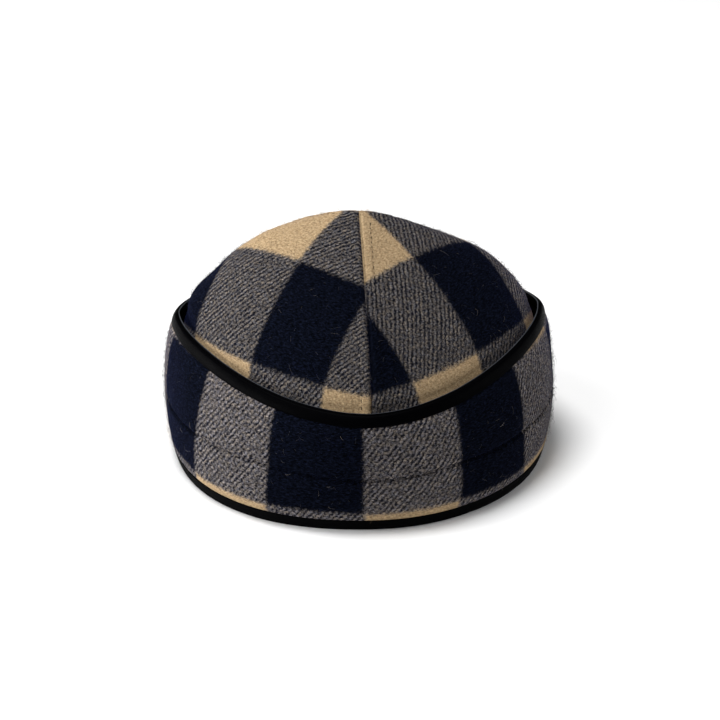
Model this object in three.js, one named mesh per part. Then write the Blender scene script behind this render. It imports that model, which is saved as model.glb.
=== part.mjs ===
import * as THREE from "three";
import { mergeVertices } from "three/addons/utils/BufferGeometryUtils.js";

// Railroad cap in plaid wool, millimetres, resting on its rim.
// The rear centre seam faces -Y, the peak faces +Y, the wearer's left is -X.
// A bearing of 0 is the rear seam, a quarter turn is +X, a half turn is the front.

// Plan of the cap: a rounded oval, square at the rim and a little pointed at the band's top.
const rimHalfWidth = 91.6;
const bandHalfWidth = 96;
const bandTopHalfWidth = 90.2;
const lengthToWidth = 1.14;
const roundness = { rimLeft: 2.25, rimRight: 2.02, bandTop: 1.68, front: 2.1, frontTop: 1.72 };
const bulgeSquareness = 2.6;

// Upper edge of the ear band above the floor: low at the rear seam, lowest over the peak.
const bandTop = { side: 68.8, lean: 0.95, rear: 57.5, front: 52.5 };

// The rim lifts off the floor where the peak is sewn on.
const rimLift = 12;
const rimLiftSpan = 62;

// Tape bindings.
const rimTape = { thickness: 1, height: 5.6, web: 1.5 };
const topTape = { thickness: 0.7, height: 6, web: 0.7 };

// Wool thicknesses and the play left between two pieces.
const bandThickness = 4.5;
const headThickness = 3;
const crownThickness = 2.2;
const play = 0.3;
const crownPlay = 0.9;
const seamPlay = 0.4;

// Crown: upright wall inside the band, then a dome that comes to a soft point.
const shoulderHeight = 50;
const apexHeight = 119.6;
const crownHalf = { left: 92.4, right: 91.8, length: 99 };
const crownFullness = { left: 1.82, right: 2.15, ends: 1.75 };
const crownPoint = { left: 0.11, right: 0.33, rear: 0.28, front: 0.62 };
const crownRoundness = { shoulder: 1.75, apex: 1.55 };

// Soft swells and dents of the crown, angles in degrees.
const swells = [
  { bearing: -95, height: 104, spread: 34, tall: 9, rise: 0.8 },
  { bearing: -95, height: 84, spread: 30, tall: 8, rise: -2 },
  { bearing: 95, height: 106, spread: 34, tall: 9, rise: -0.7 },
  { bearing: 95, height: 92, spread: 30, tall: 8, rise: 1.7 },
];

// Peak: a crescent of stiffened cloth.
const peak = { span: 54, reach: 60, cornerReach: 5, thickness: 4.2, fan: 0.45, above: 0.8 };
const peakEdge = { centre: 3.7, corner: 1.2 };

// Facets, and how many of them a rear panel of the crown takes before its side seam.
const roundSteps = 64;
const rearSteps = 22;
const wallSteps = 4;
const domeSteps = 11;

const radians = THREE.MathUtils.degToRad;
const blend = THREE.MathUtils.lerp;
const ease = (from, to, value) => THREE.MathUtils.smoothstep(value, from, to);

// Radius of an oval at a bearing.
function ovalRadius(bearing, halfWidth, halfLength, roundness) {
  const across = Math.abs(Math.sin(bearing) / halfWidth) ** roundness;
  const along = Math.abs(Math.cos(bearing) / halfLength) ** roundness;
  return (across + along) ** (-1 / roundness);
}

function rimHeight(bearing) {
  const fromFront = 180 - Math.abs(THREE.MathUtils.radToDeg(bearing));
  if (fromFront > rimLiftSpan) return 0;
  return rimLift * Math.cos(radians(fromFront * 90 / rimLiftSpan)) ** 2;
}

function bandTopHeight(bearing) {
  const rear = Math.max(0, Math.cos(bearing)) ** 2.75;
  const front = Math.max(0, -Math.cos(bearing)) ** 1.1;
  const side = bandTop.side + bandTop.lean * Math.sin(bearing);
  return side + (bandTop.rear - bandTop.side) * rear + (bandTop.front - bandTop.side) * front;
}

// Outermost surface of band and bindings at a height above the floor.
function outerRadius(bearing, height) {
  const low = rimHeight(bearing);
  const high = bandTopHeight(bearing);
  const share = THREE.MathUtils.clamp((height - low) / (high - low), 0, 1);
  const bulge = 1 - Math.abs(2 * share - 1) ** bulgeSquareness;
  const fullest = bandHalfWidth - (rimHalfWidth + bandTopHalfWidth) / 2;
  const halfWidth = blend(rimHalfWidth, bandTopHalfWidth, share) + fullest * bulge;
  const rim = blend(roundness.rimLeft, roundness.rimRight, ease(-0.5, 0.5, Math.sin(bearing)));
  const rear = blend(rim, roundness.bandTop, share);
  const front = blend(roundness.front, roundness.frontTop, share);
  const round = blend(front, rear, ease(-0.6, 0.6, Math.cos(bearing)));
  return ovalRadius(bearing, halfWidth, halfWidth * lengthToWidth, round);
}

function place(bearing, radius, height) {
  return new THREE.Vector3(radius * Math.sin(bearing), -radius * Math.cos(bearing), height);
}

// A closed ring: the section gives [inward, height] pairs for each bearing.
function ringSolid(section) {
  const corners = section(0).length;
  const ring = new THREE.TorusGeometry(2, 1, corners, roundSteps);
  const spots = ring.attributes.position;
  const uv = ring.attributes.uv;
  for (let i = 0; i < spots.count; i++) {
    const step = Math.round(uv.getX(i) * roundSteps) % roundSteps;
    const corner = Math.round(uv.getY(i) * corners) % corners;
    const bearing = (step / roundSteps) * 2 * Math.PI - Math.PI;
    const [inward, height] = section(bearing)[corner];
    const spot = place(bearing, outerRadius(bearing, height) - inward, height);
    spots.setXYZ(i, spot.x, spot.y, spot.z);
  }
  return closed(ring);
}

// A closed sheet: a divided block whose three directions are bent into place.
function sheetSolid(acrossSteps, upSteps, bend) {
  const block = new THREE.BoxGeometry(1, 1, 1, acrossSteps, upSteps, 1);
  const spots = block.attributes.position;
  for (let i = 0; i < spots.count; i++) {
    const spot = bend(spots.getX(i) + 0.5, spots.getY(i) + 0.5, spots.getZ(i) + 0.5);
    spots.setXYZ(i, spot.x, spot.y, spot.z);
  }
  return closed(block);
}

// Joins the edges of a bent shape, drops empty facets and turns it outward.
function closed(shape) {
  shape.deleteAttribute("normal");
  shape.deleteAttribute("uv");
  const joined = mergeVertices(shape, 1e-4);
  const old = joined.index.array;
  const spots = joined.attributes.position;
  const corner = [new THREE.Vector3(), new THREE.Vector3(), new THREE.Vector3()];
  let kept = [];
  let volume = 0;
  for (let i = 0; i < old.length; i += 3) {
    const facet = [old[i], old[i + 1], old[i + 2]];
    if (new Set(facet).size < 3) continue;
    kept.push(...facet);
    facet.forEach((spot, k) => corner[k].fromBufferAttribute(spots, spot));
    volume += corner[0].dot(corner[1].clone().cross(corner[2]));
  }
  if (volume < 0) kept = kept.reverse();
  joined.setIndex(kept);
  joined.computeVertexNormals();
  return joined;
}

// Folded tape round the rim, open upward, with a flat underside to rest on.
function rimSection(bearing) {
  const floor = rimHeight(bearing);
  const tape = rimTape.thickness;
  const inner = bandThickness + crownPlay + crownThickness + play;
  const top = floor + rimTape.height;
  const web = floor + rimTape.web;
  return [
    [tape, floor],
    [0, floor + tape],
    [0, top],
    [tape, top],
    [tape, web],
    [inner, web],
    [inner, top],
    [inner + tape, top],
    [inner + tape, floor + tape],
    [inner, floor],
  ];
}

// The folded band is thickest low down and thins towards its upper edge.
function bandDepth(share) {
  return blend(bandThickness, headThickness, ease(0.3, 0.85, share));
}

// Folded wool band, narrower still where the tapes lie over its edges.
function bandSection(bearing) {
  const low = rimHeight(bearing);
  const high = bandTopHeight(bearing);
  const foot = low + rimTape.web + play;
  const rimEdge = low + rimTape.height;
  const topEdge = high - topTape.height;
  const head = high - topTape.web - play;
  const underRim = rimTape.thickness + play;
  const underTop = topTape.thickness + play;
  const at = (share) => blend(low, high, share);
  return [
    [underRim, foot],
    [underRim, rimEdge + play],
    [0, rimEdge + 1.8],
    [0, at(0.3)],
    [0, at(0.45)],
    [0, at(0.6)],
    [0, at(0.75)],
    [0, topEdge - 1.4],
    [underTop, topEdge - play],
    [underTop, head],
    [headThickness - underTop, head],
    [headThickness - underTop, topEdge - play],
    [headThickness, topEdge - 1.4],
    [bandDepth(0.75), at(0.75)],
    [bandDepth(0.6), at(0.6)],
    [bandDepth(0.45), at(0.45)],
    [bandDepth(0.3), at(0.3)],
    [bandThickness, rimEdge + 1.8],
    [bandThickness, foot],
  ];
}

// Folded tape over the band's upper edge, open downward.
function bandTapeSection(bearing) {
  const high = bandTopHeight(bearing);
  const low = high - topTape.height;
  const tape = topTape.thickness;
  const web = high - topTape.web;
  return [
    [0, low],
    [0, high - 0.5 * tape],
    [0.6 * tape, high],
    [headThickness - 0.6 * tape, high],
    [headThickness, high - 0.5 * tape],
    [headThickness, low],
    [headThickness - tape, low],
    [headThickness - tape, web],
    [tape, web],
    [tape, low],
  ];
}

// Smaller of two radii, with a soft change from one to the other.
function softSmaller(one, other) {
  return (one + other - Math.hypot(one - other, 1)) / 2;
}

// Crown surface at a bearing; rise runs from 0 at the shoulder to 1 at the apex.
function domeSpot(bearing, rise, depth) {
  const side = Math.sin(bearing);
  const sideShare = side * side;
  const right = ease(-0.5, 0.5, side);
  const rear = ease(-0.5, 0.5, Math.cos(bearing));
  const halfWidth = blend(crownHalf.left, crownHalf.right, right);
  const sideFull = blend(crownFullness.left, crownFullness.right, right);
  const fullness = blend(crownFullness.ends, sideFull, sideShare);
  const sidePoint = blend(crownPoint.left, crownPoint.right, right);
  const endPoint = blend(crownPoint.front, crownPoint.rear, rear);
  const point = blend(endPoint, sidePoint, sideShare);
  const angle = rise * Math.PI / 2;
  const reach = Math.max(0, Math.cos(angle)) ** (2 / fullness);
  const climb = (1 - point) * Math.sin(angle) ** (2 / fullness) + point * (1 - reach);
  const roundness = blend(crownRoundness.shoulder, crownRoundness.apex, climb);
  const base = ovalRadius(bearing, halfWidth, crownHalf.length, roundness);
  let height = blend(shoulderHeight, apexHeight, climb);
  for (const swell of swells) {
    const turn = THREE.MathUtils.euclideanModulo(THREE.MathUtils.radToDeg(bearing) - swell.bearing + 180, 360) - 180;
    const fall = (turn / swell.spread) ** 2 + ((height - swell.height) / swell.tall) ** 2;
    height += swell.rise * Math.exp(-fall) * Math.min(1, 3 * reach);
  }
  const limit = crownLimit(bearing, height);
  const radius = reach > 0.5 ? softSmaller(reach * base, limit) : reach * base;
  return place(bearing, radius - depth * reach, height - depth * Math.sqrt(1 - reach * reach));
}

function crownLimit(bearing, height) {
  return outerRadius(bearing, height) - bandThickness - crownPlay;
}

// The upright wall lies along the band at its foot and eases in to the shoulder.
function wallSpot(bearing, row, depth) {
  const foot = rimHeight(bearing) + rimTape.web + play;
  const tapeTop = rimHeight(bearing) + rimTape.height + 1;
  const above = Math.max(0, row - 1) / (wallSteps - 1);
  const height = row < 1 ? blend(foot, tapeTop, row) : blend(tapeTop, shoulderHeight, above);
  const share = (height - foot) / (shoulderHeight - foot);
  const shoulder = domeSpot(bearing, 0, 0);
  const inset = crownLimit(bearing, shoulderHeight) - Math.hypot(shoulder.x, shoulder.y);
  const radius = crownLimit(bearing, height) - inset * share * share;
  return place(bearing, radius - depth, height);
}

// One panel of the crown between two seams, counted in steps round the crown.
function crownPanel(startStep, steps) {
  const rows = wallSteps + domeSteps;
  const startBearing = (startStep / roundSteps) * 2 * Math.PI;
  const span = (steps / roundSteps) * 2 * Math.PI;
  const away = place(startBearing + span / 2, seamPlay / 2 / Math.sin(span / 2), 0);
  return sheetSolid(steps, rows, (across, up, out) => {
    const bearing = startBearing + across * span;
    const depth = (1 - out) * crownThickness;
    const row = up * rows;
    const spot = row < wallSteps - 1e-6
      ? wallSpot(bearing, row, depth)
      : domeSpot(bearing, THREE.MathUtils.clamp((row - wallSteps) / domeSteps, 0, 1), depth);
    return spot.add(away);
  });
}

// Peak: its inner edge follows the rim tape, its outer edge comes near the floor.
function peakSolid() {
  return sheetSolid(24, 6, (across, out, up) => {
    const turn = radians(blend(-peak.span, peak.span, across));
    const bearing = turn >= 0 ? Math.PI - turn : -Math.PI - turn;
    const round = Math.cos(turn * 90 / peak.span);
    const seat = rimHeight(bearing) + peak.above;
    const inner = place(bearing, outerRadius(bearing, seat + peak.thickness) + play, 0);
    const reach = peak.cornerReach + (peak.reach - peak.cornerReach) * Math.max(0, round) ** 0.8;
    const edge = blend(peakEdge.corner, peakEdge.centre, round * round);
    const droop = blend(out, out * out, 0.35);
    const thickness = peak.thickness * (1 - 0.4 * out ** 6);
    return new THREE.Vector3(
      inner.x + reach * out * Math.sin(peak.fan * turn),
      inner.y + reach * out * Math.cos(peak.fan * turn),
      blend(seat, edge, droop) + up * thickness,
    );
  });
}

const wool = (name, shape, colour) => {
  const material = new THREE.MeshStandardMaterial({ color: colour, roughness: 0.95, metalness: 0 });
  const mesh = new THREE.Mesh(shape, material);
  mesh.name = name;
  return mesh;
};

const cap = new THREE.Group();
cap.name = "railroad_cap";
cap.add(wool("crown_rear_left", crownPanel(-rearSteps, rearSteps), "#4f4c50"));
cap.add(wool("crown_rear_right", crownPanel(0, rearSteps), "#4f4c50"));
cap.add(wool("crown_front_right", crownPanel(rearSteps, roundSteps / 2 - rearSteps), "#4f4c50"));
cap.add(wool("crown_front_left", crownPanel(-roundSteps / 2, roundSteps / 2 - rearSteps), "#4f4c50"));
cap.add(wool("ear_band", ringSolid(bandSection), "#3c3b42"));
cap.add(wool("band_binding", ringSolid(bandTapeSection), "#121315"));
cap.add(wool("rim_binding", ringSolid(rimSection), "#0f1012"));
cap.add(wool("peak", peakSolid(), "#4f4c50"));

// The origin is under the middle of the whole cap.
const bounds = new THREE.Box3().setFromObject(cap);
const centre = bounds.getCenter(new THREE.Vector3());
cap.children.forEach((mesh) => mesh.geometry.translate(-centre.x, -centre.y, -bounds.min.z));

export default cap;
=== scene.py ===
import bisect
import math
import random

import bmesh
import bpy
from mathutils import Matrix, Vector, noise
from mathutils.bvhtree import BVHTree


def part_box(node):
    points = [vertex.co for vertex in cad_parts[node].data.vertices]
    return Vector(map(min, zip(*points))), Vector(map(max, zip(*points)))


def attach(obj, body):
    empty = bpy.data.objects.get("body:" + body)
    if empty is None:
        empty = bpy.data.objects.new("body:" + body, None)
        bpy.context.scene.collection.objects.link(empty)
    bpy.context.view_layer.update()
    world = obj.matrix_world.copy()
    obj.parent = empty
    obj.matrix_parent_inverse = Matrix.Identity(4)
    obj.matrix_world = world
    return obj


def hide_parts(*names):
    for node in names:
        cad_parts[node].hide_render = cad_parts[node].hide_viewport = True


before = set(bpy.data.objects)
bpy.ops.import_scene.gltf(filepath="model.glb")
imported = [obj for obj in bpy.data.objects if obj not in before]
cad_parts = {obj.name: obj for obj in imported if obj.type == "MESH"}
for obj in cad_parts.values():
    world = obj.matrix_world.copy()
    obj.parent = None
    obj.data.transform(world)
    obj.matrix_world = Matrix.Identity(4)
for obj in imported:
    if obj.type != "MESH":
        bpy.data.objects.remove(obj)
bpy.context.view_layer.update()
mm = 0.001


# The cap's own form, in millimetres round the crown's axis

capForm = {
    "rimHalfWidth": 91.6, "bandHalfWidth": 96.0, "bandTopHalfWidth": 90.2, "lengthToWidth": 1.14,
    "roundRimLeft": 2.25, "roundRimRight": 2.02, "roundBandTop": 1.68,
    "roundFront": 2.1, "roundFrontTop": 1.72,
    "bandTopSide": 68.8, "bandTopLean": 0.95, "bandTopRear": 57.5, "bandTopFront": 52.5,
    "rimLift": 12.0, "rimLiftSpan": 62.0,
    "rimTapeHeight": 5.6, "rimTapeThick": 1.0, "topTapeHeight": 5.0, "topTapeThick": 0.7,
    "bandThick": 4.5, "headThick": 2.7, "crownThick": 2.2, "crownPlay": 0.9,
    "footAbove": 1.8, "clearance": 0.3, "footSoftness": 3.0, "middleHeight": 40.0,
    "shoulderHeight": 50.0, "apexHeight": 119.6,
    "crownHalfLeft": 92.4, "crownHalfRight": 91.8, "crownHalfLength": 99.0,
    "fullLeft": 1.82, "fullRight": 2.15, "fullEnds": 1.75,
    "pointLeft": 0.11, "pointRight": 0.33, "pointRear": 0.28, "pointFront": 0.62,
    "roundShoulder": 1.75, "roundApex": 1.55,
    # each swell of the crown: bearing, height, spread in degrees, reach up and down, and lift
    "swells": [(-95, 104, 34, 9, 0.8), (-95, 84, 30, 8, -2.0), (95, 106, 34, 9, -0.7), (95, 92, 30, 8, 1.7)],
}


def lerp(a, b, t):
    return a + (b - a) * t


def ease(low, high, value):
    t = min(1.0, max(0.0, (value - low) / (high - low)))
    return t * t * (3 - 2 * t)


def bell(value, width):
    return math.exp(-(value / width) ** 2)


def ovalRadius(bearing, halfWidth, halfLength, roundness):
    across = abs(math.sin(bearing) / halfWidth) ** roundness
    along = abs(math.cos(bearing) / halfLength) ** roundness
    return (across + along) ** (-1 / roundness)


def wrapped(bearing):
    return (bearing + math.pi) % (2 * math.pi) - math.pi


def rimHeight(bearing):
    fromFront = 180 - abs(math.degrees(wrapped(bearing)))
    if fromFront > capForm["rimLiftSpan"]:
        return 0.0
    return capForm["rimLift"] * math.cos(math.radians(fromFront * 90 / capForm["rimLiftSpan"])) ** 2


def bandTopHeight(bearing):
    c = math.cos(bearing)
    side = capForm["bandTopSide"] + capForm["bandTopLean"] * math.sin(bearing)
    rear = (capForm["bandTopRear"] - capForm["bandTopSide"]) * max(0.0, c) ** 2.75
    front = (capForm["bandTopFront"] - capForm["bandTopSide"]) * max(0.0, -c) ** 1.1
    return side + rear + front


def outerRadius(bearing, height):
    low, high = rimHeight(bearing), bandTopHeight(bearing)
    share = min(1.0, max(0.0, (height - low) / (high - low)))
    bulge = 1 - abs(2 * share - 1) ** 2.6
    ends = (capForm["rimHalfWidth"] + capForm["bandTopHalfWidth"]) / 2
    halfWidth = lerp(capForm["rimHalfWidth"], capForm["bandTopHalfWidth"], share)
    halfWidth += (capForm["bandHalfWidth"] - ends) * bulge
    rim = lerp(capForm["roundRimLeft"], capForm["roundRimRight"], ease(-0.5, 0.5, math.sin(bearing)))
    rear = lerp(rim, capForm["roundBandTop"], share)
    front = lerp(capForm["roundFront"], capForm["roundFrontTop"], share)
    roundness = lerp(front, rear, ease(-0.6, 0.6, math.cos(bearing)))
    return ovalRadius(bearing, halfWidth, halfWidth * capForm["lengthToWidth"], roundness)


def spotAt(bearing, radius, height):
    # bearing 0 is the rear seam, a quarter turn is +X, a half turn is the front
    return Vector((radius * math.sin(bearing), -radius * math.cos(bearing), height))


def bearingAt(share):
    # the bearing at a share of the way round, from the front by the left, the rear and the right
    return -math.pi + share * 2 * math.pi


def cornerAt(up, count):
    # which corner of a closed section of so many corners lies at this share of the way round it
    return round(up * count) % count


def crownLimit(bearing, height):
    return outerRadius(bearing, height) - capForm["bandThick"] - capForm["crownPlay"]


def domeSpot(bearing, rise):
    s = math.sin(bearing)
    sideShare = s * s
    right = ease(-0.5, 0.5, s)
    rear = ease(-0.5, 0.5, math.cos(bearing))
    halfWidth = lerp(capForm["crownHalfLeft"], capForm["crownHalfRight"], right)
    full = lerp(capForm["fullEnds"], lerp(capForm["fullLeft"], capForm["fullRight"], right), sideShare)
    endPoint = lerp(capForm["pointFront"], capForm["pointRear"], rear)
    point = lerp(endPoint, lerp(capForm["pointLeft"], capForm["pointRight"], right), sideShare)
    angle = min(1.0, max(0.0, rise)) * math.pi / 2
    reach = max(0.0, math.cos(angle)) ** (2 / full)
    climb = (1 - point) * math.sin(angle) ** (2 / full) + point * (1 - reach)
    roundness = lerp(capForm["roundShoulder"], capForm["roundApex"], climb)
    base = ovalRadius(bearing, halfWidth, capForm["crownHalfLength"], roundness)
    height = lerp(capForm["shoulderHeight"], capForm["apexHeight"], climb)
    for swellBearing, swellHeight, spread, tall, lift in capForm["swells"]:
        turn = (math.degrees(bearing) - swellBearing + 180) % 360 - 180
        height += lift * bell(turn, spread) * bell(height - swellHeight, tall) * min(1.0, 3 * reach)
    radius = reach * base
    if reach > 0.5:
        limit = crownLimit(bearing, height)
        radius = (radius + limit - math.hypot(radius - limit, capForm["footSoftness"])) / 2
    return spotAt(bearing, radius, height)


def wallSpot(bearing, share):
    foot = rimHeight(bearing) + capForm["footAbove"]
    height = lerp(foot, capForm["shoulderHeight"], share)
    shoulder = domeSpot(bearing, 0)
    inset = crownLimit(bearing, capForm["shoulderHeight"]) - math.hypot(shoulder.x, shoulder.y)
    return spotAt(bearing, crownLimit(bearing, height) - inset * share * share, height)


# The frame centres the whole cap, peak and all; the crown's axis stands in the middle of the ear band's oval
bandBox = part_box("ear_band")
axisY = (bandBox[0][1] + bandBox[1][1]) / 2 / mm
capAxis = Vector((0, axisY, 0))


# Where the plaid lies on each piece, in millimetres of cloth

cloth = {
    "stripeAcross": 47.0, "stripeAlong": 56.0,  # width of one colour block, warp way and weft way
    # how a panel is opened out before it is measured
    "turn": math.radians(37), "rollUp": 110.0, "kneeHeight": 40.0, "meridianSteps": 80,
    # each pair is mm of cloth, warp way and weft way: the place one pace down from the apex,
    # and what each pace across and along a rear panel adds to it, straight and bowed
    "pace": 50.0,
    "rearLeft": {"start": (-39.5, -6.5), "across": (52.5, 3.5), "along": (0.5, 48.5),
                 "bowAcross": (3.0, -1.5), "twist": (-1.5, 0.5), "bowAlong": (-1.5, -0.5)},
    "rearRight": {"start": (43.5, -10.0), "across": (53.5, -7.0), "along": (1.0, 48.0),
                  "bowAcross": (-4.0, -1.0), "twist": (-1.5, -2.0), "bowAlong": (-0.5, -0.5)},
    "frontTurn": math.radians(152), "frontStart": (12.0, 20.0),
    # the band: mm of cloth for 1 mm round it and up it, and where its first blocks start
    "bandPerMm": 47 / 48, "bandStart": 2.8, "bandLow": 10.0, "bandStretch": 1.06,
}


def panelMeridian(turn):
    # the middle line of a panel, as angle above the knee and length of cloth
    steps = cloth["meridianSteps"]
    spots = [domeSpot(turn, i / steps) for i in range(steps + 1)]
    lengths = [0.0]
    for below, above in zip(spots, spots[1:]):
        lengths.append(lengths[-1] + (above - below).length)
    angles = [math.atan2(s.z - cloth["kneeHeight"], math.hypot(s.x, s.y)) for s in spots]
    return angles, [length - lengths[-1] for length in lengths], math.hypot(spots[0].x, spots[0].y)


meridians = {turn: panelMeridian(turn)
             for turn in (cloth["turn"], -cloth["turn"], cloth["frontTurn"], -cloth["frontTurn"])}


def between(value, xs, ys):
    # ys at this value of xs, which rise
    if value <= xs[0]:
        return ys[0]
    for i in range(1, len(xs)):
        if value <= xs[i]:
            return lerp(ys[i - 1], ys[i], (value - xs[i - 1]) / max(1e-9, xs[i] - xs[i - 1]))
    return ys[-1]


def openedOut(spot, turn):
    # a spot on the crown laid flat: across the panel with its middle at this bearing, and along that panel
    outward = spot.x * math.sin(turn) - spot.y * math.cos(turn)
    across = spot.x * math.cos(turn) + spot.y * math.sin(turn)
    angles, lengths, shoulder = meridians[turn]
    lift = math.atan2(spot.z - cloth["kneeHeight"], outward)
    if lift > math.pi / 2:
        along = (lift - math.pi / 2) * (capForm["apexHeight"] - cloth["kneeHeight"])
    elif lift < angles[0]:
        along = lengths[0] + (lift - angles[0]) * shoulder
    else:
        along = between(lift, angles, lengths)
    roll = cloth["rollUp"]
    return roll * math.asin(max(-1.0, min(1.0, across / roll))), along


def rearCloth(spot, side):
    # place on the cloth of a spot on a rear panel; ahead of the widest point the plaid runs on evenly
    if spot.y > 0:
        widest = rearCloth(Vector((spot.x, 0, spot.z)), side)
        behind = rearCloth(Vector((spot.x, -spot.y, spot.z)), side)
        return 2 * widest[0] - behind[0], 2 * widest[1] - behind[1]
    across, along = openedOut(spot, cloth["turn"] * side)
    p, q = across / cloth["pace"], along / cloth["pace"] + 1
    shares = {"start": 1, "across": p, "along": q, "bowAcross": p * p, "twist": p * q, "bowAlong": q * q}
    laid = cloth["rearLeft" if side < 0 else "rearRight"]
    return tuple(sum(laid[key][way] * share for key, share in shares.items()) for way in (0, 1))


def frontCloth(spot, side):
    # the front panels are cut straight along their middle line, one the mirror of the other
    across, along = openedOut(spot, cloth["frontTurn"] * side)
    return side * across + cloth["frontStart"][0], along + cloth["frontStart"][1]


# Making pieces

def relievedGrid(name, columns, rows, bend, relief, materials, foldAt=None, closed=False):
    # a sheet of quads bent by bend(across, up), then lifted along its own outside by relief;
    # foldAt gives the material by share of the way up, and closed says that the sheet closes on itself
    mesh = bpy.data.meshes.new(name)
    bm = bmesh.new()
    bmesh.ops.create_grid(bm, x_segments=columns, y_segments=rows, size=0.5)
    laid = bm.loops.layers.uv.new("cloth")
    shares = {vert: (vert.co.x + 0.5, vert.co.y + 0.5) for vert in bm.verts}
    for face in bm.faces:
        face.smooth = True
        if foldAt:
            face.material_index = foldAt(face.calc_center_median().y + 0.5)
    placed = {vert: bend(*share) for vert, share in shares.items()}
    for face in bm.faces:
        for loop in face.loops:
            loop[laid].uv = Vector(placed[loop.vert][1]) * mm
    for vert, spot in placed.items():
        vert.co = spot[0]
    bmesh.ops.remove_doubles(bm, verts=bm.verts, dist=0.02)
    bmesh.ops.recalc_face_normals(bm, faces=bm.faces)
    middle = Vector((0, 0, capForm["middleHeight"]))
    outward = sum(v.normal.dot(v.co - middle) for v in bm.verts)
    if outward < 0 and not closed:
        bmesh.ops.reverse_faces(bm, faces=bm.faces)
    bm.normal_update()
    lifts = [(vert, vert.normal.copy()) for vert in bm.verts]
    for vert, normal in lifts:
        vert.co = vert.co + normal * relief(vert.co, *shares[vert])
    for vert in bm.verts:
        vert.co = (vert.co + capAxis) * mm
    bm.to_mesh(mesh)
    bm.free()
    return finished(name, mesh, materials)


def finished(name, mesh, materials):
    piece = bpy.data.objects.new(name, mesh)
    bpy.context.scene.collection.objects.link(piece)
    for material in materials:
        mesh.materials.append(material)
    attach(piece, "root")
    return piece


def ripple(spot, size, seed=0.0):
    return noise.noise(Vector((spot.x / size + seed, spot.y / size - seed, spot.z / size + 2 * seed)))


# Materials

def linear(hexValue):
    channels = [int(hexValue[i:i + 2], 16) / 255 for i in (1, 3, 5)]
    return [c / 12.92 if c <= 0.04045 else ((c + 0.055) / 1.055) ** 2.4 for c in channels] + [1.0]


def addNode(tree, kind, inputs=(), out=0, **settings):
    # one node with its settings; inputs go by name or place, and are values or other nodes' outputs
    node = tree.nodes.new("ShaderNode" + kind)
    for key, value in settings.items():
        setattr(node, key, value)
    for key, value in inputs.items() if isinstance(inputs, dict) else enumerate(inputs):
        if isinstance(value, bpy.types.NodeSocket):
            tree.links.new(value, node.inputs[key])
        else:
            node.inputs[key].default_value = value
    return node.outputs[out] if node.outputs else node


def maths(tree, operation, *values):
    return addNode(tree, "Math", values, operation=operation)


def remapped(tree, value, fromLow, fromHigh, toLow=0.0, toHigh=1.0, **settings):
    return addNode(tree, "MapRange", {0: value, 1: fromLow, 2: fromHigh, 3: toLow, 4: toHigh}, **settings)


def mixedColour(tree, share, low, high):
    return addNode(tree, "Mix", {0: share, 6: low, 7: high}, out=2, data_type="RGBA")


def mixedValue(tree, share, low, high):
    return addNode(tree, "Mix", {0: share, 2: low, 3: high}, data_type="FLOAT")


def clothInMm(tree):
    uv = addNode(tree, "UVMap", uv_map="cloth")
    return addNode(tree, "VectorMath", {0: uv, "Scale": 1000.0}, operation="SCALE")


def newMaterial(name):
    material = bpy.data.materials.new(name)
    material.use_nodes = True
    material.node_tree.nodes.clear()
    return material, material.node_tree


plaid = {
    "creamShade": "#927A5C", "cream": "#B69F7D",
    "navy": "#020306", "navyLift": "#0F1320", "mixedNavy": "#0D0F18",
    # light yarn of the mixed blocks, cool and warm, on the crown and on the band; the band's pair is painted
    # lighter, as painted light for the brighter light the band catches
    "crownMixed": ("#6F6E72", "#857A6D"), "bandMixedPaintedLighter": ("#85838A", "#9C9083"),
    "warpYarn": 0.75, "weftYarn": 0.96,  # mm from one yarn to the next
    "slanting": 0.45,                 # how far the floats go from steps, at 0, to smooth slanting lines, at 1
    "fray": 3.2, "softEdge": 1.5,     # mm that the nap moves a block's edge, and how soft it is to either side
    "wander": 2.0,                    # mm that the yarns wander from straight
    "broken": 3.2, "navyOver": 0.34,  # how far the nap breaks up the floats, and navy nap lies over them
    # how clearly the floats show, where the nap is thick and where it is worn, and how far they stand up
    "crownClear": (0.4, 1.15), "bandClear": (0.25, 1.0),
    "plainRidge": 0.08, "crownRidge": 0.3, "bandRidge": 0.22,
    # darkest and lightest fibre against the block's own colour
    "mottlePlain": (0.62, 1.3), "mottleMixed": (0.3, 1.75),
    "sheen": 0.13, "sheenTint": "#5864BC", "sheenRoughness": 0.25, "roughness": 0.95, "specular": 0.01,
}

# Each noise over the cloth: scale per mm, detail, roughness

clothNoises = {
    "fray": (0.7, 4.0, 0.8), "wander": (0.45, 3.0, 0.7), "worn": (0.09, 2.0, 0.5), "broken": (0.8, 3.0, 0.7),
    "blotch": (0.8, 4.0, 0.75), "warmth": (0.45, 3.0, 0.8),
}
fibreLays = ((0.6, 0.0), (-0.9, 7.0), (2.2, 19.0))  # slant and place of each lay of fine fibres


def clothNoise(tree, inMm, kind, out=0):
    scale, detail, roughness = clothNoises[kind]
    settings = {"Vector": inMm, "Scale": scale, "Detail": detail, "Roughness": roughness}
    return addNode(tree, "TexNoise", settings, out=out)


def strayed(tree, inMm, kind):
    # the place on the cloth, moved about by a noise
    push = clothNoise(tree, inMm, kind, out=1)
    push = addNode(tree, "VectorMath", [push, (0.5, 0.5, 0.5)], operation="SUBTRACT")
    push = addNode(tree, "VectorMath", {0: push, "Scale": plaid[kind] * 2}, operation="SCALE")
    moved = addNode(tree, "VectorMath", [inMm, push], operation="ADD")
    return addNode(tree, "SeparateXYZ", [moved]).node.outputs


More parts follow.
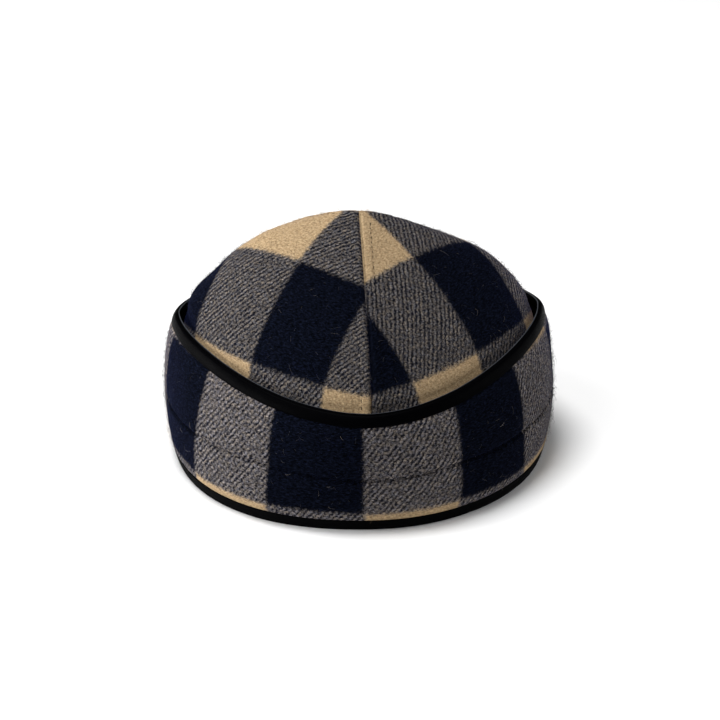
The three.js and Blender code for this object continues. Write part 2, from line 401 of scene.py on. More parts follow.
def colourBlocks(tree, inMm):
    # for warp and weft, 1 where that way's yarns are cream; a cream block starts at 0, where a navy one ends,
    # and forty stripes more keep the way above zero
    frayed = strayed(tree, inMm, "fray")
    edge = plaid["softEdge"]
    blocks = []
    for axis, stripe in ((0, cloth["stripeAcross"]), (1, cloth["stripeAlong"])):
        shifted = maths(tree, "ADD", frayed[axis], stripe * 40.5)
        wave = maths(tree, "PINGPONG", shifted, stripe)
        low, high = stripe / 2 - edge, stripe / 2 + edge
        blocks.append(remapped(tree, wave, low, high, interpolation_type="SMOOTHSTEP"))
    return blocks


def twillFloats(tree, inMm):
    # 2/2 twill in slanting lines: 1 where a warp yarn lies on top
    yarns = strayed(tree, inMm, "wander")
    across = maths(tree, "DIVIDE", yarns[0], plaid["warpYarn"])
    across = maths(tree, "ADD", across, 4000.0)  # whole floats, so that the count stays above zero
    along = maths(tree, "DIVIDE", yarns[1], plaid["weftYarn"])
    column = maths(tree, "FLOOR", across)
    inColumn = maths(tree, "FRACT", across)
    slanted = maths(tree, "ADD", column, maths(tree, "MULTIPLY", inColumn, plaid["slanting"]))
    phase = maths(tree, "DIVIDE", maths(tree, "SUBTRACT", slanted, along), 4.0)
    triangle = maths(tree, "PINGPONG", maths(tree, "FRACT", phase), 0.5)
    return remapped(tree, triangle, 0.06, 0.44)


def fineFibres(tree, inMm):
    # lays of fine fibres, dark and light, over the weave
    total = None
    for slant, place in fibreLays:
        lay = addNode(tree, "Mapping", [inMm, (place, place, 0), (0, 0, slant), (0.55, 1.9, 1)])
        settings = {"Vector": lay, "Scale": 1.0, "Detail": 2.0, "Roughness": 0.6, "Distortion": 0.8}
        lay = maths(tree, "MULTIPLY", addNode(tree, "TexNoise", settings), 1 / 3)
        total = maths(tree, "ADD", total, lay) if total else lay
    return total


def makePlaid(name, mixedYarn, clear, ridged):
    # brushed wool twill: short floats of two yarns under a nap that blurs them and lies matt
    material, t = newMaterial(name)
    inMm = clothInMm(t)
    warpCream, weftCream = colourBlocks(t, inMm)
    warpUp = twillFloats(t, inMm)
    fibres = fineFibres(t, inMm)

    # how much cream shows: the yarn on top, and in the mixed blocks that yarn under broken navy nap
    floats = mixedValue(t, warpUp, weftCream, warpCream)
    mixed = maths(t, "ABSOLUTE", maths(t, "SUBTRACT", warpCream, weftCream))
    worn = remapped(t, clothNoise(t, inMm, "worn"), 0.35, 0.65, *clear)
    broken = maths(t, "SUBTRACT", clothNoise(t, inMm, "broken"), 0.5)
    broken = maths(t, "MULTIPLY", broken, plaid["broken"])
    crossed = maths(t, "MULTIPLY", maths(t, "SUBTRACT", floats, 0.5), worn)
    crossed = maths(t, "ADD", maths(t, "ADD", crossed, broken), 0.5 - plaid["navyOver"])
    creamShare = mixedValue(t, mixed, floats, remapped(t, crossed, -0.25, 1.25))

    # cream and navy, each with its own look where the two cross
    blotch = clothNoise(t, inMm, "blotch")
    tone = remapped(t, blotch, 0.38, 0.62)
    cream = mixedColour(t, tone, linear(plaid["creamShade"]), linear(plaid["cream"]))
    warmth = remapped(t, clothNoise(t, inMm, "warmth"), 0.4, 0.6)
    mixedCream = mixedColour(t, warmth, linear(mixedYarn[0]), linear(mixedYarn[1]))
    cream = mixedColour(t, maths(t, "MULTIPLY", warpCream, weftCream), mixedCream, cream)
    navy = mixedColour(t, remapped(t, fibres, 0.44, 0.6), linear(plaid["navy"]), linear(plaid["navyLift"]))
    navy = mixedColour(t, maths(t, "MAXIMUM", warpCream, weftCream), navy, linear(plaid["mixedNavy"]))
    colour = mixedColour(t, creamShare, navy, cream)

    plain = remapped(t, fibres, 0.4, 0.6, *plaid["mottlePlain"])
    speckled = remapped(t, fibres, 0.4, 0.6, *plaid["mottleMixed"])
    mottle = mixedValue(t, mixed, plain, speckled)
    colour = addNode(t, "VectorMath", {0: colour, "Scale": mottle}, operation="SCALE")

    # the nap lies thickest on the plain blocks, so their floats stand up least
    ridge = remapped(t, mixed, 0.0, 1.0, plaid["plainRidge"], ridged)
    relief = maths(t, "ADD", maths(t, "MULTIPLY", warpUp, ridge), blotch)
    bump = addNode(t, "Bump", {"Strength": 0.7, "Distance": 0.0005, "Height": relief})
    shader = addNode(t, "BsdfPrincipled", {
        "Base Color": colour, "Roughness": plaid["roughness"], "Normal": bump,
        "Specular IOR Level": plaid["specular"], "Sheen Weight": plaid["sheen"],
        "Sheen Roughness": plaid["sheenRoughness"], "Sheen Tint": linear(plaid["sheenTint"])})
    addNode(t, "OutputMaterial", {"Surface": shader})
    return material


# Each tape and thread: two shades, roughness, specular, scale of its ribs, and place, reach and colour of a
# highlight painted along its fold

tapes = {
    # the satin tape's fold colour is a painted highlight: lighter grey along the ridge where the lamps catch
    # it
    "black satin tape": (("#010102", "#030304"), 0.4, 0.006, 1.2, (16.6, 1.1, "#53565C")),
    "black cotton tape": (("#020203", "#040405"), 0.75, 0.02, 1.0, None),
    "black lining cloth": (("#060608", "#0A0A0D"), 0.9, 0.02, 1.0, None),
    "navy sewing thread": (("#020204", "#07080E"), 0.7, 0.02, 2.0, None),
}


def makeTape(name):
    # folded tape: fine cross ribs, and along its fold a lighter edge, which is a painted highlight
    colours, roughness, specular, rib, fold = tapes[name]
    material, t = newMaterial(name)
    inMm = clothInMm(t)
    settings = {"Vector": inMm, "Scale": rib, "Distortion": 0.6}
    ribs = addNode(t, "TexWave", settings, out=1, bands_direction="X")
    cloud = addNode(t, "TexNoise", {"Vector": inMm, "Scale": 0.4, "Detail": 4.0})
    colour = mixedColour(t, cloud, linear(colours[0]), linear(colours[1]))
    # painted highlight: near the fold's ridge the colour turns a lighter grey
    if fold:
        place, reach, foldHighlightColour = fold
        up = addNode(t, "SeparateXYZ", [inMm], out=1)
        fromFold = maths(t, "ABSOLUTE", maths(t, "SUBTRACT", up, place))
        colour = mixedColour(t, remapped(t, fromFold, reach, 0.0), colour, linear(foldHighlightColour))
    bump = addNode(t, "Bump", {"Strength": 0.2, "Distance": 0.0001, "Height": ribs})
    shader = addNode(t, "BsdfPrincipled", {
        "Base Color": colour, "Roughness": roughness, "Normal": bump, "Specular IOR Level": specular})
    addNode(t, "OutputMaterial", {"Surface": shader})
    return material


# the band's wool is the crown's with painted light: its mixed yarn is lighter, and its floats show and stand
# up less
plaidWool = makePlaid("brushed wool twill", plaid["crownMixed"], plaid["crownClear"], plaid["crownRidge"])
plaidBand = makePlaid("brushed wool twill of the band, painted lighter", plaid["bandMixedPaintedLighter"], plaid["bandClear"],
                      plaid["bandRidge"])
blackSatin = makeTape("black satin tape")
blackTwill = makeTape("black cotton tape")
blackLining = makeTape("black lining cloth")
navyThread = makeTape("navy sewing thread")
print("materials made")


# Crown

crown = {
    "rearColumns": 154, "frontColumns": 70, "wallRows": 14, "domeRows": 140, "openSeam": 0.04,
    "sideSeam": math.radians(123.75),  # bearing of the side seams, out of sight from behind
    "seamLean": 1.25,                  # mm that the rear seam runs off to the right at its foot
    # relief in mm: how far in or out, and how wide
    "valley": 0.95, "valleyWidth": 0.9, "allowance": 0.55,
    "stitchFrom": 5.0, "stitchDip": 0.6, "dipWidth": 0.75, "stitchPitch": 3.4,
    "pucker": 0.32, "puckerSize": 5.5, "softWave": 0.7, "softSize": 32, "smallWave": 0.22, "smallSize": 11,
    "rearFlat": ((0.2, 0.18), 0.0245),  # metres of cloth a panel is cut from, and its own area after the cut
    "frontFlat": ((0.09, 0.18), 0.0104),
}


def seamLean(height):
    return crown["seamLean"] * ease(116, 60, height)


def crownBend(start, end, clothAt):
    # a panel stands a little away from its neighbours, so that each sewn seam shows as a fine line
    away = spotAt((start + end) / 2, crown["openSeam"] / 2 / math.sin((end - start) / 2), 0)
    side = -1 if start < 0 else 1
    wallPart = crown["wallRows"] / (crown["wallRows"] + crown["domeRows"])

    def bend(across, up):
        eased = lerp(across, 0.5 - 0.5 * math.cos(math.pi * across), 0.6)
        bearing = lerp(start, end, eased)
        nearRear = max(0.0, math.cos(bearing)) ** 4
        rise = max(0.0, (up - wallPart) / (1 - wallPart))
        first = domeSpot(bearing, rise)
        bearing += nearRear * seamLean(first.z) / max(12.0, math.hypot(first.x, first.y))
        if up < wallPart - 1e-6:
            spot = wallSpot(bearing, up / wallPart)
        else:
            spot = domeSpot(bearing, rise)
        return spot + away, clothAt(spot, side)
    return bend


def fromSideSeam(spot):
    # how far a spot lies from the plane of the nearer side seam
    return abs(abs(spot.x) * math.cos(crown["sideSeam"]) + spot.y * math.sin(crown["sideSeam"]))


def crownRelief(seed):
    def relief(spot, across, up):
        lean = seamLean(spot.z) if spot.y < 0 else 0.0
        d = min(abs(spot.x - lean), fromSideSeam(spot))
        along = spot.z + math.hypot(spot.x, spot.y)
        lift = -crown["valley"] * bell(d, crown["valleyWidth"])
        lift += crown["allowance"] * (1 - ease(4.4, 6.6, d)) * ease(0.3, 1.6, d)
        stitched = 0.65 + 0.35 * math.cos(along * 2 * math.pi / crown["stitchPitch"])
        lift -= crown["stitchDip"] * bell(d - crown["stitchFrom"], crown["dipWidth"]) * stitched
        lift += crown["pucker"] * ripple(spot, crown["puckerSize"], seed) * bell(d - 4, 7)
        lift += crown["softWave"] * ripple(spot, crown["softSize"], seed) * ease(0, 12, d)
        lift += crown["smallWave"] * ripple(spot, crown["smallSize"], seed + 3) * ease(0, 5, d)
        return lift * ease(0, 10, math.hypot(spot.x, spot.y) + 2)
    return relief


crownPieces = []
for node, start, end, columns in (("crown_rear_left", -crown["sideSeam"], 0, crown["rearColumns"]),
                                  ("crown_rear_right", 0, crown["sideSeam"], crown["rearColumns"]),
                                  ("crown_front_right", crown["sideSeam"], math.pi, crown["frontColumns"]),
                                  ("crown_front_left", -math.pi, -crown["sideSeam"], crown["frontColumns"])):
    clothAt = rearCloth if "rear" in node else frontCloth
    panel = relievedGrid(node + "_wool", columns, crown["wallRows"] + crown["domeRows"],
                         crownBend(start, end, clothAt), crownRelief(start), [plaidWool])
    wall = panel.modifiers.new("wool thickness", "SOLIDIFY")
    wall.thickness = capForm["crownThick"] * mm
    wall.offset = -1
    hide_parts(node)
    crownPieces.append(panel)
print("crown made")


# Ear band: a ring whose section runs up the outside, over the top, down the inside and back

band = {
    "columns": 460, "arcSteps": 360, "arcHeight": 30,
    "stitchHeight": 29.3, "stitchDip": 1.9, "dipWidth": 0.3, "stitchPitch": 3.6,
    "groove": 1.5, "grooveWidth": 0.95, "pucker": 0.4, "puckerSize": 7,
    "softWave": 0.6, "softSize": 26, "smallWave": 0.2, "smallSize": 9,
    "flat": (0.066, 0.62),
}


def bandArc():
    # bearings round the band, and how many mm each lies from the rear seam along the band's outside
    steps = band["arcSteps"]
    bearings = [-math.pi + 2 * math.pi * i / steps for i in range(steps + 1)]
    spots = [spotAt(bearing, outerRadius(bearing, band["arcHeight"]), 0) for bearing in bearings]
    lengths = [0.0]
    for a, b in zip(spots, spots[1:]):
        lengths.append(lengths[-1] + (b - a).length)
    middle = lengths[steps // 2]
    return bearings, [length - middle for length in lengths]


bandBearings, bandLengths = bandArc()


def bandCloth(bearing, height):
    # place on the band's cloth, round the band and up it
    share = (bearing + math.pi) / (2 * math.pi) * (len(bandBearings) - 1)
    i = min(len(bandBearings) - 2, max(0, int(share)))
    length = lerp(bandLengths[i], bandLengths[i + 1], share - i)
    return ((length + cloth["bandStart"]) * cloth["bandPerMm"],
            (height - cloth["bandLow"]) * cloth["bandStretch"] - cloth["stripeAlong"])


def stitchHeight(bearing):
    # the row of stitches along the band dips a little at the rear seam
    dip = band["stitchDip"] * bell(wrapped(bearing), band["dipWidth"])
    return band["stitchHeight"] + rimHeight(bearing) * 0.5 - dip


def bandSection(bearing):
    # outer face upward as [inward, height] corners, then the inner face downward
    low, high = rimHeight(bearing), bandTopHeight(bearing)
    foot = low + capForm["footAbove"]
    rimEdge, topEdge = low + capForm["rimTapeHeight"], high - capForm["topTapeHeight"]
    head = high - capForm["topTapeThick"] - capForm["clearance"]
    underRim = capForm["rimTapeThick"] + capForm["clearance"]
    underTop = capForm["topTapeThick"] + capForm["clearance"]
    stitch = min(topEdge - 6, max(rimEdge + 6, stitchHeight(bearing)))
    outer = [(underRim, foot), (underRim, rimEdge - 1.0), (0.5, rimEdge + 0.3), (-0.1, rimEdge + 1.6)]
    outer += [(0, lerp(rimEdge + 1.6, stitch - 3, i / 10)) for i in range(1, 11)]
    outer += [(0, stitch - 3 + i * 0.5) for i in range(1, 13)]
    outer += [(0, lerp(stitch + 3, topEdge - 1.6, i / 13)) for i in range(1, 14)]
    outer += [(0.35, topEdge - 0.4), (underTop, topEdge + 0.8), (underTop, head)]
    thick = capForm["headThick"]
    inner = [(thick - underTop, head), (thick - underTop, topEdge - 0.3), (thick, topEdge - 1.4)]
    for i in range(1, 15):
        height = lerp(topEdge - 1.4, rimEdge + 1.8, i / 14)
        share = (height - low) / (high - low)
        inner.append((lerp(capForm["bandThick"], capForm["headThick"], ease(0.3, 0.85, share)), height))
    inner += [(capForm["bandThick"], foot)]
    return outer, inner


bandOuterCount = len(bandSection(0)[0])
bandCorners = bandOuterCount + len(bandSection(0)[1])


def bandBend(across, up):
    bearing = bearingAt(across)
    outer, inner = bandSection(bearing)
    corners = outer + inner
    inward, height = corners[cornerAt(up, bandCorners)]
    return spotAt(bearing, outerRadius(bearing, height) - inward, height), bandCloth(bearing, height)


def bandRelief(spot, across, up):
    bearing = bearingAt(across)
    corner = cornerAt(up, bandCorners)
    low, high = rimHeight(bearing), bandTopHeight(bearing)
    if corner >= bandOuterCount or corner < 2 or corner >= bandOuterCount - 2:
        return 0.0
    away = spot.z - stitchHeight(bearing)
    along = bandCloth(bearing, 0)[0]
    hold = ease(low + 6, low + 11, spot.z) * (1 - ease(high - 11, high - 7, spot.z))
    stitched = 0.8 + 0.2 * math.cos(along * 2 * math.pi / band["stitchPitch"])
    lift = -band["groove"] * bell(away, band["grooveWidth"]) * stitched
    lift += band["pucker"] * ripple(spot, band["puckerSize"], 4) * bell(away, 7)
    lift += band["softWave"] * ripple(spot, band["softSize"], 8) * hold
    lift += band["smallWave"] * ripple(spot, band["smallSize"], 12) * hold
    return lift


def bandSide(up):
    # the outside is plaid wool, and the inside is lined
    return 1 if up * bandCorners > bandOuterCount - 1 else 0


bandWool = relievedGrid("ear_band_wool", band["columns"], bandCorners, bandBend, bandRelief,
                        [plaidBand, blackLining], foldAt=bandSide, closed=True)
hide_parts("ear_band")
print("ear band made")


# Folded tape over the band's upper edge

topTape = {
    "columns": 420, "crowned": 0.35, "ridge": 0.45, "groove": 0.55,
    "clothRound": 24, "wave": 0.12, "waveSize": 9,
}


def topTapeSection():
    # inward, and height against the band's upper edge: outside, over the top, inside, and back under
    tape, thick = capForm["topTapeThick"], capForm["headThick"]
    low = -capForm["topTapeHeight"]
    outside = [(0.25, low + 0.05)]
    for i in range(1, 14):
        share = i / 14
        crowned = topTape["crowned"] * math.sin(math.pi * min(1, share * 0.95))
        outside.append((0.1 - crowned, low + share * (-low - 0.3)))
    ridge, groove = topTape["ridge"], topTape["groove"]
    over = [(0.3, -0.12), (0.65, 0.0), (1.0, -0.02), (1.25, -0.12), (1.45, -groove), (1.65, -groove),
            (1.75, -0.05), (1.9, ridge - 0.08), (2.1, ridge), (2.3, ridge - 0.1), (2.55, -0.1), (thick, -0.6)]
    inside = [(thick + 0.05, low / 2), (thick, low), (thick - tape, low), (thick - tape, -tape),
              (tape, -tape), (tape, low)]
    return outside + over + inside


tapeCorners = topTapeSection()


def topTapeBend(across, up):
    bearing = bearingAt(across)
    inward, below = tapeCorners[cornerAt(up, len(tapeCorners))]
    height = bandTopHeight(bearing) + below
    radius = outerRadius(bearing, min(height, bandTopHeight(bearing))) - inward
    return spotAt(bearing, radius, height), (bandCloth(bearing, 0)[0], up * topTape["clothRound"])


def topTapeRelief(spot, across, up):
    return topTape["wave"] * ripple(spot, topTape["waveSize"], 5)


bandTape = relievedGrid("band_top_tape", topTape["columns"], len(tapeCorners), topTapeBend, topTapeRelief,
                        [blackSatin], closed=True)
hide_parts("band_binding")


# Folded tape round the rim, flat underneath

rimTape = {"columns": 420, "clothRound": 34, "wave": 0.12, "waveSize": 8}


def rimTapeSection():
    # inward and height above the lower edge, outside, round the trough for band and crown, and inside
    thick = capForm["rimTapeThick"]
    inner = capForm["bandThick"] + capForm["crownPlay"] + capForm["crownThick"] + capForm["clearance"]
    top = capForm["rimTapeHeight"]
    outside = [(0.5, 0.0), (0.2, 0.08), (0.0, 0.3), (-0.08, 1.0), (-0.12, 2.0), (-0.12, 3.0), (-0.05, 4.2),
               (0.1, top - 0.5), (0.4, top), (0.8, top), (1.0, top - 0.4)]
    trough = [(1.0, 1.5), (inner, 1.5)]
    inside = [(inner, top - 0.3), (inner + 0.3, top), (inner + 0.7, top), (inner + thick, top - 0.4),
              (inner + thick, 1.0), (inner + 0.7, 0.2), (inner, 0.0), (inner / 2, 0.0)]
    return outside + trough + inside


rimCorners = rimTapeSection()


def rimTapeBend(across, up):
    bearing = bearingAt(across)
    inward, above = rimCorners[cornerAt(up, len(rimCorners))]
    height = rimHeight(bearing) + above
    spot = spotAt(bearing, outerRadius(bearing, height) - inward, height)
    return spot, (bandCloth(bearing, 0)[0], up * rimTape["clothRound"])


def rimTapeRelief(spot, across, up):
    # the tape waves a little, and stays flat where it stands on the floor
    return rimTape["wave"] * ripple(spot, rimTape["waveSize"], 9) * ease(1, 2.5, spot.z)


rimPiece = relievedGrid("rim_tape", rimTape["columns"], len(rimCorners), rimTapeBend, rimTapeRelief,
                        [blackTwill], closed=True)
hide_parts("rim_binding")
print("tapes made")


# Peak: plaid wool all through, though the real peak is stiffened inside, with grooves along its rows of
# stitching near the edge

peak = {
    "span": 54.0, "reach": 60.0, "cornerReach": 5.0, "thick": 4.2, "fan": 0.45, "above": 0.8,
    "edgeCentre": 3.7, "edgeCorner": 1.2, "columns": 160, "rowsOut": 34, "rounding": 1.6,
    "stitchRows": [5.0, 11.0, 17.0], "groove": 0.35, "grooveWidth": 0.9,
    "clothStart": (23.5, -100),
}


def peakPlan(across, out):
    # where the peak's underside is, for a share across it and a share outward
    turn = math.radians(lerp(-peak["span"], peak["span"], across))
    bearing = math.pi - turn if turn >= 0 else -math.pi - turn
    fromEnd = max(0.0, math.cos(turn * 90 / peak["span"]))
    seat = rimHeight(bearing) + peak["above"]
    inner = spotAt(bearing, outerRadius(bearing, seat + peak["thick"]) + capForm["clearance"], 0)
    reach = peak["cornerReach"] + (peak["reach"] - peak["cornerReach"]) * fromEnd ** 0.8
    edge = lerp(peak["edgeCorner"], peak["edgeCentre"], fromEnd * fromEnd)
    droop = lerp(out, out * out, 0.35)
    return Vector((inner.x + reach * out * math.sin(peak["fan"] * turn),
                   inner.y + reach * out * math.cos(peak["fan"] * turn), lerp(seat, edge, droop))), reach


def peakWay(up):
    # up runs outward along the underside, round the edge, and back along the top
    rows = peak["rowsOut"]
    step = cornerAt(up, 2 * rows + 2)
    onTop = step > rows
    return (2 * rows + 1 - step) / rows if onTop else step / rows, onTop


def peakBend(across, up):
    out, onTop = peakWay(up)
    spot, reach = peakPlan(across, out)
    thick = peak["thick"] * (1 - 0.4 * out ** 6)
    fromEdge = min((1 - out) * reach, out * reach + 0.4, min(across, 1 - across) * 150)
    edgeward = 1 - min(1.0, fromEdge / peak["rounding"])
    rounded = peak["rounding"] * (1 - math.sqrt(max(0.0, 1 - edgeward ** 2)))
    lift = thick - rounded if onTop else rounded
    return spot + Vector((0, 0, lift)), (spot.x + peak["clothStart"][0], spot.y + peak["clothStart"][1])


def peakRelief(spot, across, up):
    out = peakWay(up)[0]
    fromEdge = (1 - out) * peakPlan(across, out)[1]
    grooves = sum(peak["groove"] * bell(fromEdge - row, peak["grooveWidth"]) for row in peak["stitchRows"])
    return -grooves * ease(0, 0.06, across) * ease(0, 0.06, 1 - across)


peakPiece = relievedGrid("peak_wool", peak["columns"], 2 * peak["rowsOut"] + 2, peakBend, peakRelief,
                         [plaidWool], closed=True)
closing = bmesh.new()
closing.from_mesh(peakPiece.data)
bmesh.ops.holes_fill(closing, edges=closing.edges, sides=0)
bmesh.ops.recalc_face_normals(closing, faces=closing.faces)
closing.to_mesh(peakPiece.data)
closing.free()
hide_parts("peak")
print("peak made")


# Sewing: short raised stitches laid along the finished cloth

sewing = {
    "length": 2.5, "gap": 0.9, "thick": 0.55, "sunk": 0.12,
    "closest": 9.0,  # mm from the apex within which a seam has no stitches beside it
    "seamSpots": 120, "bandSpots": 241, "middleHeight": 30.0,
}


def clothTree(pieces):
    # the finished surfaces of several pieces, to lay things on
    joined = bmesh.new()
    for piece in pieces:
        joined.from_mesh(piece.data)
    tree = BVHTree.FromBMesh(joined)
    joined.free()
    return tree


def layStitches(name, lines, tree, material):
    # lines are lists of millimetre spots near the cloth; each stitch lies on the cloth along its line
    stitches = bmesh.new()
    pitch = sewing["length"] + sewing["gap"]
    thick, length = sewing["thick"] / 2 * mm, sewing["length"] / 2 * mm
    middle = Vector((0, 0, sewing["middleHeight"] * mm))
    for line in lines:
        travelled = pitch / 2
        for a, b in zip(line, line[1:]):
            step = (b - a).length
            while travelled < step:
                spot = (a.lerp(b, travelled / step) + capAxis) * mm
                on, normal, _, _ = tree.find_nearest(spot)
                along = (b - a).normalized()
                if normal.dot(spot - capAxis * mm - middle) < 0:
                    normal = -normal
                sideways = normal.cross(along).normalized()
                along = sideways.cross(normal)
                turn = Matrix((sideways, along, normal)).transposed().to_4x4()
                size = Matrix.Diagonal((thick, length, thick, 1))
                place = Matrix.Translation(on - normal * sewing["sunk"] * mm)
                bmesh.ops.create_uvsphere(stitches, u_segments=6, v_segments=5, radius=1,
                                          matrix=place @ turn @ size, calc_uvs=False)
                travelled += pitch
            travelled -= step
    for face in stitches.faces:
        face.smooth = True
    mesh = bpy.data.meshes.new(name)
    stitches.to_mesh(mesh)
    stitches.free()
    return finished(name, mesh, [material])


def seamLine(bearing, offset):
    # a line beside a seam, this many mm to the right of it as seen from outside
    line = []
    for i in range(sewing["seamSpots"]):
        rise = i / (sewing["seamSpots"] - 1)
        centre = domeSpot(bearing, rise)
        reach = math.hypot(centre.x, centre.y)
        if reach > sewing["closest"]:
            lean = seamLean(centre.z) if bearing == 0 else 0.0
            line.append(domeSpot(bearing + math.asin((offset + lean) / reach), rise))
    return line


crownSurface = clothTree(crownPieces)
seams = (0, crown["sideSeam"], math.pi, -crown["sideSeam"])
offsets = (-crown["stitchFrom"], crown["stitchFrom"])
seamLines = [seamLine(bearing, offset) for bearing in seams for offset in offsets]
seamSewing = layStitches("crown_topstitching", seamLines, crownSurface, navyThread)


def bandLine():
    line = []
    for i in range(sewing["bandSpots"]):
        bearing = -math.pi + 2 * math.pi * i / (sewing["bandSpots"] - 1)
        height = stitchHeight(bearing)
        line.append(spotAt(bearing, outerRadius(bearing, height), height))
    return line


bandSurface = clothTree([bandWool])
bandSewing = layStitches("band_stitching", [bandLine()], bandSurface, navyThread)
print("stitches laid")


# Loose wool fibres of the brushed nap, lying on the cloth and standing a little off it

nap = {
    "crown": (13, 2.0), "band": (13, 2.0),  # doublings of one fibre, and the usual length in mm
    "thick": 0.1, "lift": 0.75, "curl": 0.6, "stray": 0.07,
    # mm that the nap keeps from the rim, from the band's upper edge, and on the crown from the band
    "aboveRim": 8.5, "belowTop": 8, "aboveBand": 3,
}


def brushNap(name, pieces, doublings, length, material, seed):
    # one tapered fibre is doubled again and again, then each copy is rooted on the cloth and bent
    dice = random.Random(seed)
    fibres = bmesh.new()
    bmesh.ops.create_cone(fibres, cap_ends=True, segments=3, radius1=1, radius2=0.5, depth=1)
    laid = fibres.loops.layers.uv.new("cloth")
    upright = [edge for edge in fibres.edges if abs(edge.verts[0].co.z - edge.verts[1].co.z) > 0.5]
    bmesh.ops.subdivide_edges(fibres, edges=upright, cuts=2)
    each = len(fibres.verts)
    for _ in range(doublings):
        bmesh.ops.duplicate(fibres, geom=fibres.verts[:] + fibres.edges[:] + fibres.faces[:])
    roots = napRoots(pieces, 2 ** doublings, dice)
    fibres.verts.ensure_lookup_table()
    fibres.verts.index_update()
    for i, (root, normal, mark) in enumerate(roots):
        lean = Vector((dice.uniform(-1, 1), dice.uniform(-1, 1), dice.uniform(-1, 1)))
        lean = (lean - normal * lean.dot(normal)).normalized()
        side = normal.cross(lean)
        stray = dice.random() < nap["stray"]
        reach = length * dice.uniform(0.5, 1.6) * (1.8 if stray else 1) * mm
        thick = nap["thick"] * dice.uniform(0.7, 1.2) * (1.2 if stray else 1) / 2 * mm
        curl = dice.uniform(-1, 1) * nap["curl"]
        lift = nap["lift"] * dice.uniform(0.1, 1.0) * (0.5 if stray else 1)
        for vert in fibres.verts[i * each:(i + 1) * each]:
            share = vert.co.z + 0.5
            arch = lift * math.sin(math.pi * 0.7 * share)
            aside = side * reach * curl * share * share
            vert.co = (root + lean * reach * share + aside + normal * reach * arch
                       + side * vert.co.x * thick + normal * (vert.co.y * thick + thick * 0.5))
    marks = [mark if dice.random() > nap["stray"] else crossedMark(dice) for _, _, mark in roots]
    for face in fibres.faces:
        face.smooth = True
        for loop in face.loops:
            loop[laid].uv = marks[loop.vert.index // each]
    mesh = bpy.data.meshes.new(name)
    bmesh.ops.recalc_face_normals(fibres, faces=fibres.faces)
    fibres.to_mesh(mesh)
    fibres.free()
    return finished(name, mesh, [material])


def crossedMark(dice):
    # a place on a block where both colours meet, so that stray fibres come in many greys
    return Vector((dice.uniform(6, 40), dice.uniform(-48, -8))) * mm


def napRoots(pieces, count, dice):
    # spots spread over the outer faces of the pieces, with their place on the cloth
    faces = []
    for piece in pieces:
        laid = piece.data.uv_layers["cloth"].data
        for face in piece.data.polygons:
            if face.material_index == 0 and nappedFace(piece, face):
                mark = laid[face.loop_start].uv.copy()
                faces.append((face.area, face.center.copy(), face.normal.copy(), mark))
    totals, total = [], 0.0
    for area, *_ in faces:
        total += area
        totals.append(total)
    roots = []
    for _ in range(count):
        picked = bisect.bisect(totals, dice.random() * total)
        area, centre, normal, mark = faces[min(len(faces) - 1, picked)]
        aside = Vector((dice.uniform(-0.4, 0.4), dice.uniform(-0.4, 0.4), 0)) * math.sqrt(area) * 0.5
        roots.append((centre + aside, normal, mark))
    return roots


def nappedFace(piece, face):
    # whether a face is brushed wool in sight: on the band between its tapes, or on the crown above the band
    spot = face.center / mm - capAxis
    bearing = math.atan2(spot.x, -spot.y)
    if piece is bandWool:
        return rimHeight(bearing) + nap["aboveRim"] < spot.z < bandTopHeight(bearing) - nap["belowTop"]
    return spot.z > bandTopHeight(bearing) + nap["aboveBand"]


napOnCrown = brushNap("crown_nap", crownPieces, nap["crown"][0], nap["crown"][1], plaidWool, 5)
napOnBand = brushNap("band_nap", [bandWool], nap["band"][0], nap["band"][1], plaidBand, 6)
print("nap brushed up")


# Floor, light and camera

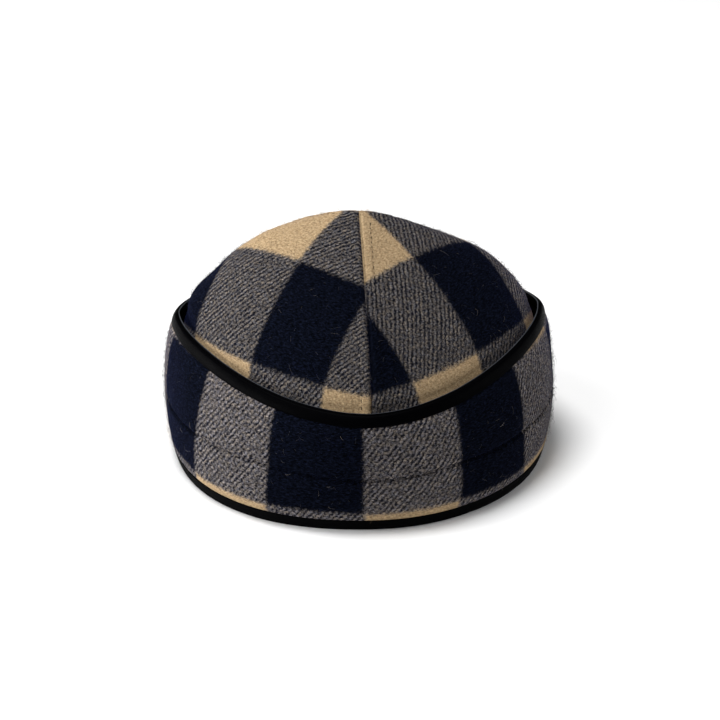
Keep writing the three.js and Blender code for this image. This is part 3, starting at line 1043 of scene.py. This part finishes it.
studio = {
    "floor": "#FFFFFF", "world": 0.15,
    # each lamp, named as in the picture: place from the cap's axis in metres, width and power
    "lamps": [("key lamp", (-0.3, 0.1, 1.9), 0.9, 30), ("left lamp", (-1.8, -0.1, 0.4), 0.7, 28),
              ("rear left lamp", (-1.75, 0.8, 0.4), 0.7, 14), ("front lamp", (-0.9, -0.9, 1.4), 0.8, 6),
              ("right lamp", (1.8, 0.2, 0.6), 0.8, 9)],
    "lampAim": 60.0,
    # where the photo was taken from, in mm and degrees; its focal length is 2839.8 of its 720 pixels
    "distance": 1400.0, "elevation": 23.37, "azimuth": -2.92, "focal": 2839.8 * 36 / 720, "aimHeight": 55.0,
    "shift": (0.0018, -0.0376),
}

floorMesh = bpy.data.meshes.new("floor")
floorShape = bmesh.new()
bmesh.ops.create_grid(floorShape, x_segments=2, y_segments=2, size=6)
floorShape.to_mesh(floorMesh)
floorShape.free()
floor = bpy.data.objects.new("floor", floorMesh)
bpy.context.scene.collection.objects.link(floor)
floorPaint, floorTree = newMaterial("pale studio floor")
floorShader = addNode(floorTree, "BsdfPrincipled", {"Base Color": linear(studio["floor"]), "Roughness": 0.9})
addNode(floorTree, "OutputMaterial", {"Surface": floorShader})
floorMesh.materials.append(floorPaint)

world = bpy.data.worlds.new("studio")
world.use_nodes = True
world.node_tree.nodes["Background"].inputs[0].default_value = (1, 1, 1, 1)
world.node_tree.nodes["Background"].inputs[1].default_value = studio["world"]
bpy.context.scene.world = world


def softLamp(name, place, size, power):
    lamp = bpy.data.lights.new(name, "AREA")
    lamp.shape = "DISK"
    lamp.size = size
    lamp.energy = power
    holder = bpy.data.objects.new(name, lamp)
    holder.location = Vector(place) + capAxis * mm
    target = Vector((0, axisY * mm, studio["lampAim"] * mm))
    holder.rotation_euler = (target - holder.location).to_track_quat("-Z", "Y").to_euler()
    bpy.context.scene.collection.objects.link(holder)


for name, place, size, power in studio["lamps"]:
    softLamp(name, place, size, power)

turn, lift = math.radians(studio["azimuth"]), math.radians(studio["elevation"])
look = Vector((math.sin(turn) * math.cos(lift), -math.cos(turn) * math.cos(lift), math.sin(lift)))
aim = capAxis + Vector((0, 0, studio["aimHeight"]))
cameraData = bpy.data.cameras.new("photo camera")
cameraData.lens = studio["focal"]
cameraData.sensor_width = 36
cameraData.shift_x, cameraData.shift_y = studio["shift"]
camera = bpy.data.objects.new("photo camera", cameraData)
camera.location = (aim + look * studio["distance"]) * mm
camera.rotation_euler = look.to_track_quat("Z", "Y").to_euler()
bpy.context.scene.collection.objects.link(camera)
bpy.context.scene.camera = camera
bpy.context.scene.view_settings.view_transform = "Standard"
print("studio made")
